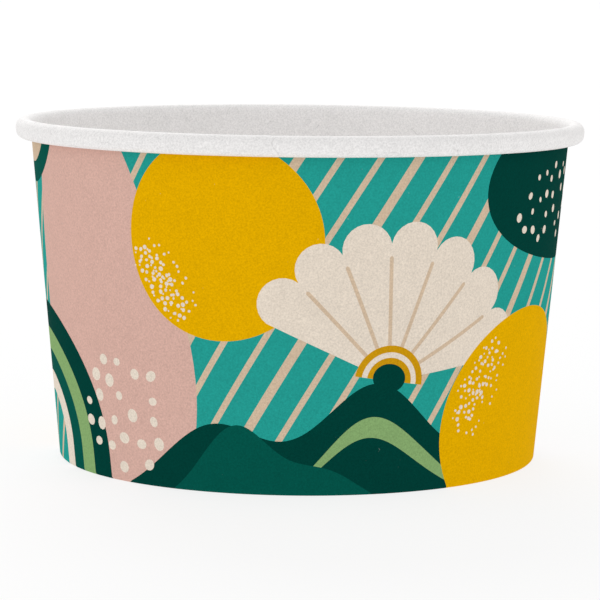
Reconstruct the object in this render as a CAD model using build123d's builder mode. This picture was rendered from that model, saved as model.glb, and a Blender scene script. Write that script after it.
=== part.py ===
from build123d import *
import os
from math import atan2, cos, degrees, sin, tan

# A paper ice cream tub: a rolled and lapped sidewall with a rolled rim and a folded foot,
# and a drawn base disc whose skirt is sealed inside that foot.
# Millimetres, +Z up, origin at the centre of the foot on the surface that the tub stands on.
# The front of the tub looks along -Y, and the lapped side seam is at the back, on +Y.

# Outside of the cone
height = 57.25
foot_diameter = 81.1  # outside of the wall at the standing surface
top_diameter = 91.3  # outside of the wall, carried on up to the full height

# Board and seals
board = 0.40  # thickness of the sidewall sheet
base_board = 0.35  # thickness of the base disc
seal_film = 0.02  # coating that seals two layers of board together

# Rolled rim
roll_width = 2.9  # across the roll
roll_side = 0.6  # straight part down the outer side of the roll
roll_gap = 0.05  # between the wall and the sheet's end, tucked up beside it
roll_flat_count = 6  # flats in each half turn of the roll's outside
hollow_flat_count = 3  # and of its hollow

# Folded foot
hem_height = 5.5  # upper edge of the hem inside the foot
fold_bevel = 0.45  # pressed outer corner of the fold

# Base disc
base_height = 7.0  # underside of the disc above the standing surface
base_bend = 0.3  # bevel where the disc turns down into its skirt
skirt_gap = 0.2  # from the skirt's lower edge to the fold

# Lapped side seam
seam_angle = 90.0  # outer edge of the lap, round the axis from +X
lap_width = 8.0  # full second layer, along the wall at the foot
ramp_width = 5.0  # beyond it, where that layer comes down to the first
lap_start = 1.0  # lower end of the lap, trimmed clear of the standing surface
lap_root = 0.1  # how far the lap's inner face lies in the wall, as both are one sheet

foot_radius = foot_diameter / 2
lean = atan2((top_diameter - foot_diameter) / 2, height)
up_wall = Vector(sin(lean), cos(lean))
out_wall = Vector(cos(lean), -sin(lean))


def wall_point(depth, z):
    """Section point at height z that lies depth inside the wall's outer face."""
    return Vector(foot_radius + z * tan(lean) - depth / cos(lean), z)


# Depth of the sheet's middle line in the wall and in the hem, with the skirt between them
sheet_depth = board / 2
skirt_depth = board + seal_film
hem_depth = skirt_depth + base_board + seal_film + board / 2

# The roll curls outwards from the wall, and its end comes up again beside the wall
roll_radius = (roll_width - board) / 2
tuck_radius = roll_radius - (board + roll_gap) / 2
roll_centre_z = height - roll_width / 2
roll_start = wall_point(sheet_depth, roll_centre_z + roll_radius * sin(lean))


def half_turn(start, direction, radius, flat_count):
    """Corners of a half turn to the right, drawn in flats."""
    arc = JernArc(start, direction, radius, -180, mode=Mode.PRIVATE)
    return [arc @ (flat / flat_count) for flat in range(flat_count + 1)]


def sheet_face(side, flat_count):
    """Section corners of the sheet's face that lies side to the right of its middle line."""
    over = half_turn(roll_start + out_wall * side, up_wall, roll_radius - side, flat_count)
    under = half_turn(over[-1] - up_wall * roll_side, -up_wall, tuck_radius - side, flat_count)
    return [
        wall_point(hem_depth + side, hem_height),
        wall_point(hem_depth + side, board / 2 - side),
        wall_point(sheet_depth - side, board / 2 - side),
        *over,
        *under,
    ]


def disc_face(depth, z):
    """Section corners of a face of the base disc, from its centre to the skirt's lower edge."""
    return [Vector(0, z), wall_point(depth, z), wall_point(depth, board + skirt_gap)]


# Sidewall, from the hem's upper edge round the fold, up the wall and through the roll
with BuildPart() as sidewall:
    with BuildSketch(Plane.XZ) as sheet:
        with BuildLine():
            printed = sheet_face(board / 2, hollow_flat_count)
            plain = sheet_face(-board / 2, roll_flat_count)
            Polyline(*printed, *reversed(plain), close=True)
        make_face()
        chamfer(sheet.vertices().group_by(Axis.Y)[0].sort_by(Axis.X)[-1], fold_bevel)
    revolve(axis=Axis.Z)

    # The lap's second layer, drawn in plan at its lower end and inside the roll
    lap_angle = degrees(lap_width / foot_radius)
    ramp_angle = degrees(ramp_width / foot_radius)
    for level in (lap_start, roll_centre_z):
        wall_radius = wall_point(0, level).X
        with BuildSketch(Plane.XY.offset(level)):
            with BuildLine():
                face = CenterArc((0, 0), wall_radius + board / cos(lean), seam_angle, lap_angle)
                root = CenterArc((0, 0), wall_radius - lap_root, seam_angle, lap_angle + ramp_angle)
                Line(root @ 0, face @ 0)
                Line(face @ 1, root @ 1)
            make_face()
    loft(ruled=True)
sidewall.part.label = "sidewall"

# Base disc, from its centre out to the bend and down the skirt between wall and hem
with BuildPart() as base_disc:
    with BuildSketch(Plane.XZ) as disc:
        with BuildLine():
            upper = disc_face(skirt_depth, base_height + base_board)
            lower = disc_face(skirt_depth + base_board, base_height)
            Polyline(*upper, *reversed(lower), close=True)
        make_face()
        chamfer(disc.vertices().group_by(Axis.Y)[-1].sort_by(Axis.X)[-1], base_bend)
    revolve(axis=Axis.Z)
base_disc.part.label = "base_disc"

os.makedirs("parts", exist_ok=True)
export_step(sidewall.part, "parts/sidewall.step")
export_step(base_disc.part, "parts/base_disc.step")
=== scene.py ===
import math
import random
import bmesh
import bpy
from mathutils import Matrix, Vector
from mathutils.geometry import delaunay_2d_cdt


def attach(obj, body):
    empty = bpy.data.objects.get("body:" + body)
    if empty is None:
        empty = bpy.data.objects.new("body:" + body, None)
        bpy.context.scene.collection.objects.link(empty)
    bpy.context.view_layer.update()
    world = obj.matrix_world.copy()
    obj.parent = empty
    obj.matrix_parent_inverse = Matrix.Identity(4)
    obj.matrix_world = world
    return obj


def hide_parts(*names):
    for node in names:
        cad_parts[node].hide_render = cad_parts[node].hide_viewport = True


mm = 0.001
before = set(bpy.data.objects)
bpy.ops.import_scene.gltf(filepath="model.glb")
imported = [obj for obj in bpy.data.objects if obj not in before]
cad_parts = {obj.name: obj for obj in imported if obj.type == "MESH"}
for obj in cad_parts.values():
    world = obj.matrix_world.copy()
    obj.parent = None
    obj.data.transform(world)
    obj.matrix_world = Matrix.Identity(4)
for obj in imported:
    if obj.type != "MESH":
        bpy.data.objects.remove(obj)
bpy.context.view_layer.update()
print("frame loaded:", sorted(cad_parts))

# the sidewall: one sheet with a folded foot, a lapped seam at the back and a rolled rim, in mm
tub = {
    "height": 57.25,
    "footRadius": 40.55,
    "topRadius": 45.65,        # of the wall, carried on up to the full height
    "board": 0.40,
    "hemHeight": 5.5,
    "foldRadius": 0.385,       # of the board's middle line in the foot's two corners
    "rollWidth": 2.9,
    "rollSide": 0.6,
    "rollGap": 0.05,
    "lapDegrees": 11.302,      # full second layer at the back seam
    "rampDegrees": 7.064,      # beyond it, where the outer layer comes down
    "lapFoot": 1.0,            # where the lap starts, up the wall
    "lapTop": 53.2,            # and where it is pressed into the roll
    "lapFade": 0.45,           # half of the stretch in which it rises at either end
    "knurls": 90.0,            # lines pressed round the hem, one to two columns
    "knurlShare": 0.3,         # how far into the board they are pressed
    "knurlTop": 4.9,           # where they end, from the hem's upper edge
    "knurlFade": 0.7,
    "printRadius": 43.0,       # the flat print is drawn to size at this radius
    "printFoot": 3.2,          # how far it runs on from the foot into the fold
    "printTop": 1.5,           # and where it ends, below the full height
}
disc = {
    "board": 0.35,
    "sealFilm": 0.02,
    "underside": 7.0,
    "bendRadius": 0.55,        # of the disc's middle line
    "skirtEnd": 0.6,
    "rings": (4.0, 12.0, 22.0, 32.0),
}
fineness = {                   # steps in degrees and gaps in mm
    "column": 2.0,             # round the tub
    "bend": 18,                # in the fold and at the disc's edge
    "roll": 10,                # over the rim
    "tuck": 15,                # under it
    "straight": 0.8,
    "fadeRows": (-2, -0.7, 0.7, 2),    # across either end of the lap, in halves of its fade
    "spans": 7,                # that the lap and the hem are cut in
}
lean = math.atan2(tub["topRadius"] - tub["footRadius"], tub["height"])
upWall = Vector((math.sin(lean), math.cos(lean)))
outWall = Vector((math.cos(lean), -math.sin(lean)))
rollRadius = (tub["rollWidth"] - tub["board"]) / 2


def wallPoint(depth, z):
    return Vector((tub["footRadius"] + z * math.tan(lean) - depth / math.cos(lean), z))


def wallRadius(y):             # y is measured up along the wall from the foot
    return tub["footRadius"] + y * math.sin(lean)


def spun(v, angle):
    c, s = math.cos(angle), math.sin(angle)
    return Vector((v.x * c - v.y * s, v.x * s + v.y * c))


# section lines of the board's middle, as points of (radius, height)
def turnAbout(centre, start, angle, step):
    count = max(2, round(abs(math.degrees(angle)) / step))
    return [centre + spun(start - centre, angle * i / count) for i in range(count + 1)]


def roundedLine(points, radius):
    line = [points[0]]
    for before, corner, after in zip(points, points[1:], points[2:]):
        back, on = (before - corner).normalized(), (after - corner).normalized()
        turn = math.pi - math.acos(back.dot(on))
        start = corner + back * radius * math.tan(turn / 2)
        centre = corner + (back + on).normalized() * radius / math.cos(turn / 2)
        side = -1 if on.cross(-back) > 0 else 1
        line += turnAbout(centre, start, turn * side, fineness["bend"])
    return line + [points[-1]]


def spaced(points):            # puts points on the long straights
    line = [points[0]]
    for a, b in zip(points, points[1:]):
        count = max(1, math.ceil((b - a).length / fineness["straight"]))
        line += [a.lerp(b, (i + 1) / count) for i in range(count)]
    return line


def sheetFoot():               # from the hem's upper edge round the fold and up to the roll
    halfBoard = tub["board"] / 2
    hemDepth = tub["board"] + disc["board"] + 2 * disc["sealFilm"] + halfBoard
    rollStart = tub["height"] - tub["rollWidth"] / 2 + rollRadius * math.sin(lean)
    corners = [wallPoint(hemDepth, tub["hemHeight"]), wallPoint(hemDepth, halfBoard),
               wallPoint(halfBoard, halfBoard), wallPoint(halfBoard, rollStart)]
    return roundedLine(corners, tub["foldRadius"])


def sheetRoll(start):          # over the rim, down its side and up again beside the wall
    tuckRadius = rollRadius - (tub["board"] + tub["rollGap"]) / 2
    over = turnAbout(start + outWall * rollRadius, start, -math.pi, fineness["roll"])
    side = over[-1] - upWall * tub["rollSide"]
    return over[1:] + turnAbout(side - outWall * tuckRadius, side, -math.pi, fineness["tuck"])


def discLine():                # from the disc's centre out and down the skirt
    depth = tub["board"] + disc["sealFilm"] + disc["board"] / 2
    z = disc["underside"] + disc["board"] / 2
    corners = [wallPoint(depth, disc["skirtEnd"]), wallPoint(depth, z), Vector((0, z))]
    return roundedLine(corners, disc["bendRadius"])[::-1]


def lengthsAlong(line):
    lengths = [0.0]
    for a, b in zip(line, line[1:]):
        lengths.append(lengths[-1] + (b - a).length)
    return lengths


def linked(name, data):
    obj = bpy.data.objects.new(name, data)
    bpy.context.collection.objects.link(obj)
    return obj


def sectionCurve(name, line):
    curve = bpy.data.curves.new(name, "CURVE")
    curve.dimensions = "3D"
    spline = curve.splines.new("POLY")
    spline.points.add(len(line) - 1)
    for point, p in zip(spline.points, line):
        point.co = (p.x * mm, 0, p.y * mm, 1)
    return linked(name, curve)


# shapes for the print, in mm about their own middle
def oval(rx, ry=None, count=64, wobble=()):
    ry = ry or rx
    points = []
    for i in range(count):
        t = 2 * math.pi * i / count
        k = 1 + sum(size * math.cos(n * t + shift) for n, size, shift in wobble)
        points.append((rx * k * math.cos(t), ry * k * math.sin(t)))
    return points


def bar(width, length, count=6):       # upright bar with round ends
    points = []
    for end, start in ((1, 0), (-1, math.pi)):
        for i in range(count + 1):
            t = start + math.pi * i / count
            y = end * (length - width) / 2 + width / 2 * math.sin(t)
            points.append((width / 2 * math.cos(t), y))
    return points


def halfRing(radius, rise, steps, count):
    return [(radius * math.cos(t * math.pi / count), rise + radius * math.sin(t * math.pi / count))
            for t in steps]


def arch(outer, inner, legs, count=40):
    over = halfRing(outer, legs, range(count + 1), count)
    under = halfRing(inner, legs, range(count, -1, -1), count)
    return [(outer, 0)] + over + [(-outer, 0), (-inner, 0)] + under + [(inner, 0)]


def hills(width, base, crests, count=96):      # a wavy field that runs down past the foot
    points = [(-width / 2, -base), (width / 2, -base)]
    for i in range(count + 1):
        x = width / 2 - width * i / count
        points.append((x, sum(h * math.exp(-((x - at) / wide) ** 2) for at, wide, h in crests)))
    return points


def shell(radius, spread, lobes, count=12):    # fan with a scalloped edge, its hinge at the origin
    points = [(0, 0)]
    step = spread / lobes
    for k in range(lobes):
        middle = math.pi / 2 - spread / 2 + step * (k + 0.5)
        halfChord = radius * math.sin(step / 2)
        centre = Vector((math.cos(middle), math.sin(middle))) * radius * math.cos(step / 2)
        for i in range(0 if k == 0 else 1, count + 1):
            t = middle - math.pi / 2 + math.pi * i / count
            points.append((centre.x + halfChord * math.cos(t), centre.y + halfChord * math.sin(t)))
    return points


def rib(near, far, width):             # upright, from near to far above the origin
    half = width / 2
    return [(-half, near), (half, near), (half, far), (0, far + half), (-half, far)]


reach = {"side": 150, "foot": -5, "rim": 90}   # of fields that run past the sheet's own edges


def field(low, high):
    side = reach["side"]
    return [(-side, low), (side, low), (side, high), (-side, high)]


motifs = []                            # (ink, points on the flat print), from the bottom layer up


def lay(ink, points, x, y, turn=0):
    # x runs round the tub and y up the wall; a shape keeps its form where the cone is narrower
    placed = []
    for px, py in points:
        p = spun(Vector((px, py)), math.radians(turn))
        placed.append(Vector((x + p.x * tub["printRadius"] / wallRadius(y + p.y), y + p.y)))
    motifs.append((ink, placed))


specks = {
    "tries": 40,                       # for each speck, at a place clear of the others
    "sizes": (0.75, 1.2),              # shares of the size that is asked for
    "heights": (0.8, 1.0),             # shares of a speck's width
    "small": 0.4,                      # mm; above it an outline has more points
    "points": (12, 7),
}


def sprinkle(ink, spots, x, y, rx, ry, size, seed, gap, turn=0):
    rng = random.Random(seed)
    count = specks["points"][0 if size > specks["small"] else 1]
    taken = []
    for _ in range(spots * specks["tries"]):
        if len(taken) == spots:
            break
        r, t = math.sqrt(rng.random()), rng.random() * 2 * math.pi
        away = Vector((rx * r * math.cos(t), ry * r * math.sin(t)))
        p = Vector((x, y)) + spun(away, math.radians(turn))
        if all((p - q).length > gap for q in taken):
            taken.append(p)
            width = size * rng.uniform(*specks["sizes"])
            outline = oval(width, width * rng.uniform(*specks["heights"]), count)
            lay(ink, outline, p.x, p.y, rng.uniform(0, 180))


sunShape = {
    "height": 0.97,                    # shares of its radius
    "patch": (0.14, 0.42),
    "points": 96,
    "specks": ((0.78, 46, 0.34), (0.64, 30, 0.24), (0.82, 26, 0.20)),      # way out, count and size
    "speckGap": 0.8,
}


def sun(x, y, radius, seed, side):     # its specks lie along the edge on one side
    wobble = ((2, 0.015, seed), (3, 0.01, seed * 2))
    lay("marigold", oval(radius, radius * sunShape["height"], sunShape["points"], wobble), x, y)
    at = math.radians(side)
    across, along = [radius * share for share in sunShape["patch"]]
    for ring, count, size in sunShape["specks"]:
        sprinkle("cream", count, x + radius * ring * math.cos(at), y + radius * ring * math.sin(at),
                 across, along, size, seed + int(ring * 100), sunShape["speckGap"], side)


fanShape = {
    "spread": 148,                     # degrees
    "lobes": 7,
    "ribEnds": (0.26, 0.9),            # shares of its radius
    "ribWidth": 0.62,                  # mm
    "hinge": ((0.26, 0.21, "gold"), (0.21, 0.17, "cream"), (0.17, 0.12, "gold")),
    "hub": (0.125, 0.105),
    "hubRise": 0.02,
    "hubPoints": 40,
}


def fan(x, y, radius, turn):           # a rib between each two lobes, and a banded hinge
    lobes = fanShape["lobes"]
    lobe = fanShape["spread"] / lobes
    near, far = [radius * share for share in fanShape["ribEnds"]]
    lay("cream", shell(radius, math.radians(fanShape["spread"]), lobes), x, y, turn)
    for k in range(-(lobes // 2), lobes // 2):
        lay("beige", rib(near, far, fanShape["ribWidth"]), x, y, turn + (k + 0.5) * lobe)
    for outer, inner, ink in fanShape["hinge"]:
        lay(ink, arch(radius * outer, radius * inner, 0), x, y, turn)
    hub = oval(*[radius * share for share in fanShape["hub"]], fanShape["hubPoints"])
    lay("deepGreen", hub, x, y + radius * fanShape["hubRise"], turn)


def rainbow(x, y, radii, names, legs, turn=0):
    for outer, inner, ink in zip(radii, radii[1:], names):
        lay(ink, arch(outer, inner, legs), x, y, turn)


inks = {                               # sRGB
    "teal": (38, 159, 149),
    "marigold": (232, 176, 1),
    "pink": (218, 178, 165),
    "cream": (234, 221, 205),
    "beige": (214, 190, 163),
    "deepGreen": (2, 63, 55),
    "midGreen": (5, 85, 74),
    "leafGreen": (137, 173, 112),
    "gold": (206, 152, 16),
    "bare": (243, 241, 240),
}
stripes = {
    "aside": 26,                       # to either side of the middle one
    "pitch": 6.1,
    "widths": (1.5, 1.0, 1.0),         # in turn
    "length": 88,
    "middle": (3, 26),
    "turn": -31,
}

lay("teal", field(-12, 70), 0, 0)
for k in range(-stripes["aside"], stripes["aside"] + 1):
    x, y = stripes["middle"]
    lay("beige", bar(stripes["widths"][k % 3], stripes["length"]), k * stripes["pitch"] + x, y,
        stripes["turn"])

# front
lay("pink", oval(18, 36, 96, ((2, 0.05, 1), (3, 0.05, 2.4), (5, 0.02, 1))), -37, 28, 8)
lay("deepGreen", hills(76, 12, ((-22, 12, 13), (4, 13, 20), (27, 10, 8))), 9, -2)
lay("leafGreen", hills(60, 12, ((3, 10.5, 14.4), (15, 8, 3))), 9, -2)
lay("deepGreen", hills(60, 12, ((2.6, 10.2, 11.2), (15, 8, 2))), 9, -2)
lay("midGreen", hills(40, 12, ((-5, 8, 13), (9, 8, 6))), -5, -2)
sun(-12, 41, 16.5, 3, 215)
fan(15, 18.5, 22, -9)
rainbow(-60, -4, (23, 18.4, 14.6, 11, 7.8), ("deepGreen", "leafGreen", "midGreen", "cream"), 8)
sprinkle("cream", 22, -31.5, 11.5, 9.5, 9.5, 0.95, 11, 3.1)
sun(46, 9, 20, 8, 150)
lay("deepGreen", oval(24, 15, 80, ((2, 0.06, 0.5), (3, 0.04, 2))), 56, 49)
sprinkle("cream", 26, 52, 45, 13, 7, 0.65, 23, 2.4)

# right side and back right
sun(89, 43, 15, 14, 250)
rainbow(115, -5, (15.5, 12.4, 9.4, 6.6, 4.2), ("cream", "marigold", "deepGreen", "leafGreen"), 20)
lay("pink", hills(60, 14, ((-14, 13, 24), (15, 10, 15))), 94, -2)
lay("deepGreen", hills(44, 14, ((-6, 9, 11), (10, 8, 8))), 100, -3)
sprinkle("cream", 16, 78, 12, 7, 7, 0.95, 31, 3.1)
lay("midGreen", oval(14, 11, 80, ((2, 0.08, 1.5),)), 119, 54)

# left side and back left
lay("deepGreen", oval(20, 15, 80, ((2, 0.07, 2), (3, 0.04, 0))), -83, 50)
lay("leafGreen", oval(12.5, 8.5, 64, ((2, 0.07, 2),)), -84, 52)
sun(-88, 9, 17, 21, 20)
fan(-110, 26, 18, -14)
lay("pink", hills(40, 14, ((-10, 9, 12), (8, 8, 17))), -117, -3)
sprinkle("cream", 14, -116, 5, 10, 5, 0.9, 41, 3.1)
rainbow(-60, 62, (15, 11.6, 8.4), ("midGreen", "beige"), 0, 180)
print("print laid out:", len(motifs), "shapes")


def linear(rgb):                       # from sRGB
    parts = [c / 255 for c in rgb]
    return [p / 12.92 if p < 0.04045 else ((p + 0.055) / 1.055) ** 2.4 for p in parts] + [1.0]


# the flat blank, cut into its fields of ink
cutting = {
    "kind": 3,                         # the cut's output: whole faces, as a mesh takes them
    "near": 1e-5,                      # mm between points that are one
    "onEnd": 1e-4,                     # mm from a point to the sheet's end that it lies on
    "decimals": 4,
}


def cutUp(points, edges, faces, withOwners):
    return delaunay_2d_cdt(points, edges, faces, cutting["kind"], cutting["near"], withOwners)


def flatBlank(name, rows, shapes):
    half = math.pi * tub["printRadius"]
    count = round(360 / fineness["column"])
    xs = [half * (2 * i / count - 1) for i in range(count + 1)]
    low, high = rows[0], rows[-1]
    points = [Vector(p) for p in ((-half, low), (half, low), (half, high), (-half, high))]
    faces, names = [[0, 1, 2, 3]], ["bare"]
    for ink, outline in shapes:
        faces.append(list(range(len(points), len(points) + len(outline))))
        names.append(ink)
        points += outline
    edges = []
    columns = [((x, low), (x, high)) for x in xs[1:-1]]
    for ends in columns + [((-half, y), (half, y)) for y in rows[1:-1]]:
        edges.append((len(points), len(points) + 1))
        points += [Vector(end) for end in ends]
    # what is cut on one end of the sheet is cut on the other too, so that the ends can be joined
    cut = cutUp(points, edges, faces, False)[0]
    levels = {side: {round(v.y, cutting["decimals"]): v.y for v in cut
                     if abs(v.x - side) < cutting["onEnd"]} for side in (-half, half)}
    for side in levels:
        missing = [y for key, y in levels[-side].items() if key not in levels[side]]
        points += [Vector((side, y)) for y in missing]
    verts, _, cells, _, _, owners = cutUp(points, edges, faces, True)
    kept = [(cell, names[max(owner)]) for cell, owner in zip(cells, owners) if 0 in owner]
    mesh = bpy.data.meshes.new(name)
    mesh.from_pydata([(v.x * mm, v.y * mm, 0) for v in verts], [], [cell for cell, _ in kept])
    mesh.validate()
    ink = mesh.attributes.new("ink", "FLOAT_COLOR", "FACE")
    for i, (_, inkName) in enumerate(kept):
        ink.data[i].color = linear(inks[inkName])
    return linked(name, mesh)


# node helpers for geometry and materials: a socket that is given is linked, any other value is set
def put(tree, kind, inputs, **settings):
    made = tree.nodes.new(kind)
    for key, value in settings.items():
        setattr(made, key, value)
    for key, value in inputs.items():
        if isinstance(value, bpy.types.NodeSocket):
            tree.links.new(value, made.inputs[key])
        else:
            made.inputs[key].default_value = value
    return made.outputs


def maths(tree, operation, a, b=0.0):
    return put(tree, "ShaderNodeMath", {0: a, 1: b}, operation=operation)[0]


def plus(tree, a, b):
    return maths(tree, "ADD", a, b)


def minus(tree, a, b):
    return maths(tree, "SUBTRACT", a, b)


def times(tree, a, b):
    return maths(tree, "MULTIPLY", a, b)


def ranged(tree, value, low, high, toLow=0.0, toHigh=1.0, curve="LINEAR"):
    inputs = {"Value": value, "From Min": low, "From Max": high, "To Min": toLow, "To Max": toHigh}
    return put(tree, "ShaderNodeMapRange", inputs, interpolation_type=curve)[0]


weld = {                               # distances in metres
    "faces": 1e-8,                     # between the two sides of a board
    "ends": 1e-6,                      # between the two ends of a sheet
    "onEnd": 1e-7,
    "sharp": 40,                       # degrees from which an edge stays sharp
}
rollInputs = {
    "Geometry": ("Blank",),
    "Object": ("Section",),
    "Float": ("Print radius", "Board", "Lap edge", "Ramp end", "Lap foot", "Lap top", "Lap fade",
              "Knurls", "Knurl share", "Knurl top", "Knurl fade"),
    "Material": ("Printed face", "Plain face", "Cut edge"),
}


# gives a flat blank its thickness and rolls it round its section line
def rollTree():
    tree = bpy.data.node_groups.new("rollBoard", "GeometryNodeTree")
    tree.interface.new_socket("Geometry", in_out="OUTPUT", socket_type="NodeSocketGeometry")
    for kind, names in rollInputs.items():
        for name in names:
            tree.interface.new_socket(name, in_out="INPUT", socket_type="NodeSocket" + kind)
    given = tree.nodes.new("NodeGroupInput").outputs

    thickness = {"Mesh": given["Blank"], "Offset Scale": given["Board"], "Individual": False}
    thick = put(tree, "GeometryNodeExtrudeMesh", thickness, mode="FACES")
    under = put(tree, "GeometryNodeFlipFaces", {"Mesh": given["Blank"]})
    both = tree.nodes.new("GeometryNodeJoinGeometry")
    tree.links.new(thick["Mesh"], both.inputs[0])
    tree.links.new(under[0], both.inputs[0])
    welded = put(tree, "GeometryNodeMergeByDistance",
                 {"Geometry": both.outputs[0], "Distance": weld["faces"]})
    place = tree.nodes.new("GeometryNodeInputPosition").outputs[0]
    stored = put(tree, "GeometryNodeStoreNamedAttribute",
                 {"Geometry": welded[0], "Name": "flat", "Value": place},
                 data_type="FLOAT_VECTOR", domain="POINT")
    flat = put(tree, "ShaderNodeSeparateXYZ", {0: place})
    angle = maths(tree, "DIVIDE", flat["X"], given["Print radius"])

    # the printed face stands a board further out over the lap, down to nothing at ramp and ends
    lift = ranged(tree, angle, given["Lap edge"], given["Ramp end"], 1.0, 0.0, "SMOOTHSTEP")
    for level, low, high in (("Lap foot", 0.0, 1.0), ("Lap top", 1.0, 0.0)):
        start = minus(tree, given[level], given["Lap fade"])
        end = plus(tree, given[level], given["Lap fade"])
        lift = times(tree, lift, ranged(tree, flat["Y"], start, end, low, high, "SMOOTHSTEP"))

    # and it is pressed in along the knurls of the hem
    wave = ranged(tree, maths(tree, "COSINE", times(tree, angle, given["Knurls"])), -1.0, 1.0)
    rise = ranged(tree, flat["Y"], 0.0, given["Knurl fade"])
    fallStart = minus(tree, given["Knurl top"], given["Knurl fade"])
    fall = ranged(tree, flat["Y"], fallStart, given["Knurl top"], 1.0, 0.0)
    pressed = times(tree, times(tree, wave, rise), fall)
    layers = minus(tree, plus(tree, lift, 1.0), times(tree, pressed, given["Knurl share"]))
    out = minus(tree, times(tree, flat["Z"], layers), times(tree, given["Board"], 0.5))

    line = put(tree, "GeometryNodeObjectInfo", {"Object": given["Section"]})
    sample = put(tree, "GeometryNodeSampleCurve", {"Curves": line["Geometry"], "Length": flat["Y"]},
                 mode="LENGTH", use_all_curves=True)
    at = put(tree, "ShaderNodeSeparateXYZ", {0: sample["Position"]})
    along = put(tree, "ShaderNodeSeparateXYZ", {0: sample["Tangent"]})
    radius = plus(tree, at["X"], times(tree, along["Z"], out))
    height = minus(tree, at["Z"], times(tree, along["X"], out))
    x = times(tree, radius, maths(tree, "SINE", angle))
    y = times(tree, times(tree, radius, -1.0), maths(tree, "COSINE", angle))
    rolled = put(tree, "ShaderNodeCombineXYZ", {"X": x, "Y": y, "Z": height})
    shaped = put(tree, "GeometryNodeSetPosition", {"Geometry": stored[0], "Position": rolled[0]})
    made = put(tree, "GeometryNodeRealizeInstances", {"Geometry": shaped[0]})
    made = put(tree, "GeometryNodeSetMaterial",
               {"Geometry": made[0], "Material": given["Plain face"]})
    for side, paint in (("Side", "Cut edge"), ("Top", "Printed face")):
        inputs = {"Geometry": made[0], "Selection": thick[side], "Material": given[paint]}
        made = put(tree, "GeometryNodeSetMaterial", inputs)
    tree.links.new(made[0], tree.nodes.new("NodeGroupOutput").inputs[0])
    return tree


def joinEnds(mesh, edgeMaterial):
    # the sheet's two ends meet at the back; the lap's raw edge closes what is open between them
    bm = bmesh.new()
    bm.from_mesh(mesh)
    flat = bm.verts.layers.float_vector["flat"]
    half = math.pi * tub["printRadius"] * mm
    ends = [f for f in bm.faces if all(abs(abs(v[flat].x) - half) < weld["onEnd"] for v in f.verts)]
    bmesh.ops.delete(bm, geom=ends, context="FACES")
    bmesh.ops.remove_doubles(bm, verts=bm.verts, dist=weld["ends"])
    bmesh.ops.delete(bm, geom=[e for e in bm.edges if e.is_wire], context="EDGES")
    bmesh.ops.delete(bm, geom=[v for v in bm.verts if not v.link_faces], context="VERTS")
    slit = [e for e in bm.edges if e.is_boundary]
    filled = bmesh.ops.holes_fill(bm, edges=slit, sides=0)["faces"] if slit else []
    for face in filled:
        face.material_index = list(mesh.materials).index(edgeMaterial)
        if face.normal.x < 0:
            face.normal_flip()
    bm.to_mesh(mesh)
    bm.free()
    return len(slit), len(filled)


bakeSheet = {
    "pixels": 1024,
    "pixelSize": 0.145,                # mm of the wall's print
    "gap": 6,                          # pixels between strips
    "plain": 0.0011,                   # scales up the sheet, in shares of the map for each mm
    "hem": 0.005,
    "roll": 0.0045,
    "edge": 0.004,                     # shares of the map: the board's thickness
    "upperEdge": 0.006,                # and the step from the hem's raw edge to the roll's
    "onEnd": 1e-3,                     # mm
}


def bakeMap(mesh, wallStart, wallEnd):
    # the wall's print lies to scale in two strips, and the plain sides and edges smaller above them
    uvs = mesh.uv_layers.new(name="OFBake")
    flat = mesh.attributes["flat"].data
    half, board, near = math.pi * tub["printRadius"], tub["board"], bakeSheet["onEnd"]
    end = max(item.vector.y for item in flat) / mm
    scale = 1 / (bakeSheet["pixels"] * bakeSheet["pixelSize"])
    gap = bakeSheet["gap"] / bakeSheet["pixels"]
    squeeze = (1 - 2 * gap) / (2 * half)
    upper = (wallEnd - wallStart) * scale + gap
    plain = 2 * upper + gap
    hem = plain + end * bakeSheet["plain"] + gap
    roll = hem + wallStart * bakeSheet["hem"] + gap
    edge = roll + (end - wallEnd) * bakeSheet["roll"] + gap
    for face in mesh.polygons:
        spots = [flat[v].vector / mm for v in face.vertices]
        middle = [p.x for p in spots if abs(abs(p.x) - half) > near] or [half]
        centreX, centreY = sum(middle) / len(middle), sum(p.y for p in spots) / len(spots)
        low, high = min(p.z for p in spots), max(p.z for p in spots)
        for loop, p in zip(face.loop_indices, spots):
            x = math.copysign(half, centreX) if abs(abs(p.x) - half) < near else p.x
            across = gap + (x + half) * squeeze
            if high - low > board / 2 or len(middle) == 1 and middle[0] == half:
                step = bakeSheet["upperEdge"] if centreY > end / 2 else 0
                spot = (across, edge + p.z * bakeSheet["edge"] / board + step)
            elif high < board / 2:
                spot = (across, plain + p.y * bakeSheet["plain"])
            elif centreY < wallStart:
                spot = (across, hem + p.y * bakeSheet["hem"])
            elif centreY > wallEnd:
                spot = (across, roll + (p.y - wallEnd) * bakeSheet["roll"])
            elif abs(centreX) < half / 2:
                spot = (gap + (x + half / 2) * scale, gap + (p.y - wallStart) * scale)
            else:
                u = (x - half / 2) * scale if centreX > 0 else (x + 1.5 * half) * scale + gap
                spot = (gap + u, upper + gap + (p.y - wallStart) * scale)
            uvs.data[loop].uv = spot


def rollUp(name, blank, tree, values):
    blank.data.materials.append(values["Plain face"])
    modifier = blank.modifiers.new("roll", "NODES")
    modifier.node_group = tree
    for item in tree.interface.items_tree:
        if item.in_out == "INPUT" and item.name in values:
            modifier[item.identifier] = values[item.name]
    evaluated = blank.evaluated_get(bpy.context.evaluated_depsgraph_get())
    mesh = bpy.data.meshes.new_from_object(evaluated)
    mesh.name = name
    bpy.data.objects.remove(blank)
    bpy.data.objects.remove(values["Section"])
    print(name, "joined, open edges and fills:", joinEnds(mesh, values["Cut edge"]))
    mesh.shade_smooth()
    mesh.set_sharp_from_angle(angle=math.radians(weld["sharp"]))
    return linked(name, mesh)


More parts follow.
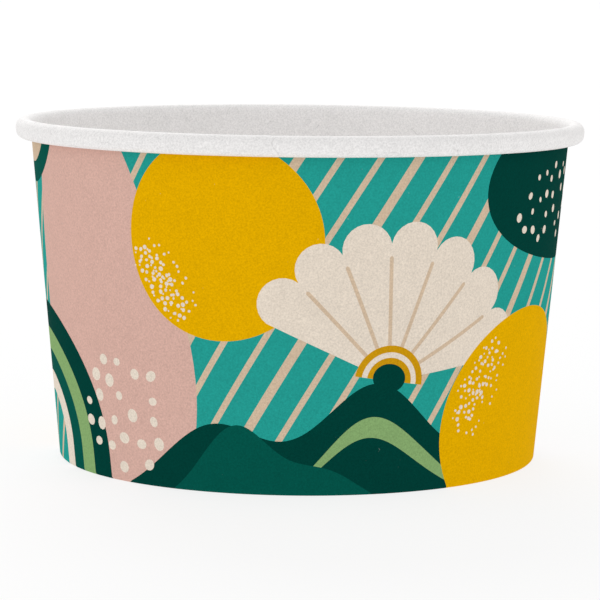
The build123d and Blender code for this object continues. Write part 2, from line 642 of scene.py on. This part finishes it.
# materials
paper = {
    "grain": 3400.0,                   # scales of the noises, per metre
    "mottle": 260.0,
    "cloud": 60.0,
    "fibre": 230.0,
    "fibrePatch": 410.0,
    "missedInk": 1500.0,
    "cutLayers": 3800.0,
    "spread": (0.3, 0.7),              # the part of a noise's range that is used
    "fibreWidth": (0.001, 0.009),
    "fibreLimit": (0.58, 0.63),        # a higher one leaves fewer of them
    "missedLimit": (0.79, 0.84),
    "cutSpread": (0.35, 0.65),
    "grainTone": (0.86, 1.12),         # factors on the colour
    "mottleTone": (0.98, 1.02),
    "cloudTone": (0.99, 1.01),
    "fibreTone": 0.80,
    "missedTone": 0.15,
    "grainDepth": 0.00005,             # metres
    "mottleDepth": 0.0002,
    "cutDepth": 0.00008,
    "board": (243, 241, 240),          # sRGB
    "disc": (244, 242, 240),
    "core": (214, 205, 190),
    "coreLight": (228, 222, 211),
}
finishes = {                           # roughness, shine and the strength of each bump
    "printed": {"rough": (0.72, 0.86), "shine": 0.005, "grain": 0.4, "mottle": 0.2},
    "plain": {"rough": (0.60, 0.78), "shine": 0.15, "grain": 0.5, "mottle": 0.25, "fibre": 0.5},
    "cut": {"rough": 0.85, "shine": 0.1, "layers": 0.6},
}


def newMaterial(name):
    material = bpy.data.materials.new(name)
    material.use_nodes = True
    tree = material.node_tree
    tree.nodes.clear()
    shader = tree.nodes.new("ShaderNodeBsdfPrincipled")
    tree.links.new(shader.outputs[0], tree.nodes.new("ShaderNodeOutputMaterial").inputs[0])
    return material, tree, shader


def noise(tree, place, scale, detail=3.0, rough=0.55):
    inputs = {"Vector": place, "Scale": scale, "Detail": detail, "Roughness": rough}
    return put(tree, "ShaderNodeTexNoise", inputs)["Fac"]


def paperTone(tree, place):            # fine grain, soft mottling and their factor on the colour
    grain = noise(tree, place, paper["grain"], rough=0.6)
    mottle = noise(tree, place, paper["mottle"])
    tone = times(tree, ranged(tree, grain, *paper["spread"], *paper["grainTone"]),
                 ranged(tree, mottle, *paper["spread"], *paper["mottleTone"]))
    return grain, mottle, tone


def hairs(tree, place):                # bent fibres: thin contour lines of a soft noise, in patches
    away = maths(tree, "ABSOLUTE", minus(tree, noise(tree, place, paper["fibre"], 0.0), 0.5))
    thin = ranged(tree, away, *paper["fibreWidth"], 1.0, 0.0)
    patch = ranged(tree, noise(tree, place, paper["fibrePatch"], 1.0), *paper["fibreLimit"])
    return times(tree, thin, patch)


def blended(tree, amount, a, b):
    inputs = {"Factor": amount, "A": a, "B": b}
    return put(tree, "ShaderNodeMix", inputs, data_type="RGBA")["Result"]


def tinted(tree, colour, tone):
    return put(tree, "ShaderNodeVectorMath", {0: colour, "Scale": tone}, operation="SCALE")[0]


def bumped(tree, shader, heights):
    normal = None
    for value, strength, distance in heights:
        inputs = {"Height": value, "Strength": strength, "Distance": distance}
        if normal:
            inputs["Normal"] = normal
        normal = put(tree, "ShaderNodeBump", inputs)[0]
    tree.links.new(normal, shader.inputs["Normal"])


def dulled(tree, shader, grain, finish):
    rough = ranged(tree, grain, *paper["spread"], *finish["rough"])
    tree.links.new(rough, shader.inputs["Roughness"])
    shader.inputs["Specular IOR Level"].default_value = finish["shine"]


def printedPaper():
    material, tree, shader = newMaterial("printedPaper")
    finish = finishes["printed"]
    place = tree.nodes.new("ShaderNodeTexCoord").outputs["Object"]
    ink = put(tree, "ShaderNodeAttribute", {}, attribute_name="ink")["Color"]
    grain, mottle, tone = paperTone(tree, place)
    spots = noise(tree, place, paper["missedInk"], 1.0)
    missed = ranged(tree, spots, *paper["missedLimit"], 0.0, paper["missedTone"])
    colour = blended(tree, missed, tinted(tree, ink, tone), linear(paper["board"]))
    tree.links.new(colour, shader.inputs["Base Color"])
    dulled(tree, shader, grain, finish)
    bumped(tree, shader, ((grain, finish["grain"], paper["grainDepth"]),
                          (mottle, finish["mottle"], paper["mottleDepth"])))
    return material


def plainBoard(name, colour):
    material, tree, shader = newMaterial(name)
    finish = finishes["plain"]
    place = tree.nodes.new("ShaderNodeTexCoord").outputs["Object"]
    grain, mottle, tone = paperTone(tree, place)
    cloud = noise(tree, place, paper["cloud"], 2.0)
    hair = hairs(tree, place)
    tone = times(tree, tone, ranged(tree, cloud, *paper["spread"], *paper["cloudTone"]))
    tone = times(tree, tone, ranged(tree, hair, 0.0, 1.0, 1.0, paper["fibreTone"]))
    tree.links.new(tinted(tree, linear(colour)[:3], tone), shader.inputs["Base Color"])
    dulled(tree, shader, grain, finish)
    bumped(tree, shader, ((grain, finish["grain"], paper["grainDepth"]),
                          (mottle, finish["mottle"], paper["mottleDepth"]),
                          (minus(tree, 1.0, hair), finish["fibre"], paper["grainDepth"])))
    return material


def cutBoard():
    material, tree, shader = newMaterial("cutBoardEdge")
    finish = finishes["cut"]
    place = tree.nodes.new("ShaderNodeTexCoord").outputs["Object"]
    layers = noise(tree, place, paper["cutLayers"])
    colour = blended(tree, ranged(tree, layers, *paper["cutSpread"]),
                     linear(paper["coreLight"]), linear(paper["core"]))
    tree.links.new(colour, shader.inputs["Base Color"])
    shader.inputs["Roughness"].default_value = finish["rough"]
    shader.inputs["Specular IOR Level"].default_value = finish["shine"]
    bumped(tree, shader, ((layers, finish["layers"], paper["cutDepth"]),))
    return material


printedSide = printedPaper()
whiteSide = plainBoard("whiteBoard", paper["board"])
discSide = plainBoard("whiteDiscBoard", paper["disc"])
rawEdge = cutBoard()
print("materials made")

# the sidewall: what is laid up the wall starts at the foot, and roll and hem stay bare
foot = sheetFoot()
section = foot + sheetRoll(foot[-1])
lengths = lengthsAlong(section)
wallStart, wallEnd = lengths[len(foot) - 2], lengths[len(foot) - 1]
footLength = wallStart - (foot[-2] - wallPoint(tub["board"] / 2, 0)).length
lapLevels = (footLength + tub["lapFoot"], footLength + tub["lapTop"])
spans = fineness["spans"]
rows = {round(level + tub["lapFade"] * k / 2, cutting["decimals"])
        for level in lapLevels for k in fineness["fadeRows"]} | set(lengths)
rows |= {a + (b - a) * i / spans for a, b in (lapLevels, (0, lengths[1])) for i in range(1, spans)}
shapes = [(ink, [Vector((p.x, p.y + footLength)) for p in outline]) for ink, outline in motifs]
bareFoot = field(reach["foot"], footLength - tub["printFoot"])
bareTop = field(footLength + tub["height"] - tub["printTop"], reach["rim"])
shapes += [("bare", [Vector(corner) for corner in corners]) for corners in (bareTop, bareFoot)]
blank = flatBlank("sheetBlank", sorted(rows), shapes)
print("blank cut:", len(blank.data.polygons), "fields")
tree = rollTree()
tubSheet = rollUp("printedSheet", blank, tree, {
    "Section": sectionCurve("sheetSection", spaced(section)),
    "Print radius": tub["printRadius"] * mm, "Board": tub["board"] * mm,
    "Lap edge": math.radians(tub["lapDegrees"] - 180),
    "Ramp end": math.radians(tub["lapDegrees"] + tub["rampDegrees"] - 180),
    "Lap foot": lapLevels[0] * mm, "Lap top": lapLevels[1] * mm, "Lap fade": tub["lapFade"] * mm,
    "Knurls": tub["knurls"], "Knurl share": tub["knurlShare"],
    "Knurl top": tub["knurlTop"] * mm, "Knurl fade": tub["knurlFade"] * mm,
    "Printed face": printedSide, "Plain face": whiteSide, "Cut edge": rawEdge})
bakeMap(tubSheet.data, wallStart, wallEnd)
print("sheet rolled:", len(tubSheet.data.polygons), "faces")

# the base disc, drawn from its centre out and down the skirt
noLap = {                              # its angles lie before the sheet's own start
    "Lap edge": -10.0, "Ramp end": -9.0, "Lap foot": 0.0, "Lap top": 1.0, "Lap fade": 0.001}
noKnurls = {"Knurls": 0.0, "Knurl share": 0.0, "Knurl top": 0.002, "Knurl fade": 0.001}
discSection = discLine()
discBlank = flatBlank("discBlank", [0.0, *disc["rings"], *lengthsAlong(discSection)[1:]], [])
baseDisc = rollUp("baseDisc", discBlank, tree, {
    "Section": sectionCurve("discSection", spaced(discSection)),
    "Print radius": tub["printRadius"] * mm, "Board": disc["board"] * mm, **noLap, **noKnurls,
    "Printed face": discSide, "Plain face": discSide, "Cut edge": rawEdge})
print("disc drawn:", len(baseDisc.data.polygons), "faces")

for piece, node, slot in ((tubSheet, "sidewall", "sidewall_board"),
                          (baseDisc, "base_disc", "base_board")):
    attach(piece, "root")
    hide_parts(node)

# floor and light
studio = {
    "floorSize": 24.0,
    "floorColour": 0.15,
    "floorGlow": 0.81,                 # the floor is a lit table
    "floorRoughness": 0.9,
    "floorShine": 0.1,
    "sky": 0.815,
}
lamps = {                              # strength, softness and turns in degrees
    "overTheRim": (1.15, 35, (-54, 0, 10)),
    "fillFromTheLeft": (0.14, 50, (68, 0, -65)),
}
white = (1, 1, 1, 1)
side = studio["floorSize"] / 2
floorMesh = bpy.data.meshes.new("floor")
floorCorners = [(-side, -side, 0), (side, -side, 0), (side, side, 0), (-side, side, 0)]
floorMesh.from_pydata(floorCorners, [], [(0, 1, 2, 3)])
floor = linked("floor", floorMesh)
floorPaint, _, shader = newMaterial("paleFloor")
shader.inputs["Base Color"].default_value = [studio["floorColour"]] * 3 + [1]
shader.inputs["Emission Color"].default_value = white
shader.inputs["Emission Strength"].default_value = studio["floorGlow"]
shader.inputs["Roughness"].default_value = studio["floorRoughness"]
shader.inputs["Specular IOR Level"].default_value = studio["floorShine"]
floorMesh.materials.append(floorPaint)

world = bpy.data.worlds.new("studio")
bpy.context.scene.world = world
world.use_nodes = True
sky = world.node_tree.nodes["Background"]
sky.inputs["Color"].default_value = white
sky.inputs["Strength"].default_value = studio["sky"]
for name, (strength, softness, turns) in lamps.items():
    light = bpy.data.lights.new(name, "SUN")
    light.energy = strength
    light.angle = math.radians(softness)
    linked(name, light).rotation_euler = [math.radians(turn) for turn in turns]
print("floor and light set")

# camera, in metres, with its roll in radians
view = {
    "place": (0, -0.479, 0.0845),
    "target": (0.00029, 0, 0.02627),
    "lens": 169.4,
    "sensor": 36,
    "farthest": 50,
    "roll": 0.0106,
}
cameraData = bpy.data.cameras.new("camera")
cameraData.lens = view["lens"]
cameraData.sensor_width = view["sensor"]
cameraData.clip_end = view["farthest"]
camera = linked("camera", cameraData)
camera.location = view["place"]
ahead = Vector(view["target"]) - Vector(view["place"])
look = ahead.to_track_quat("-Z", "Y").to_matrix().to_4x4()
camera.rotation_euler = (look @ Matrix.Rotation(view["roll"], 4, "Z")).to_euler()
bpy.context.scene.camera = camera
bpy.context.scene.view_settings.view_transform = "Standard"
bpy.context.scene.view_settings.look = "None"

print("scene done")
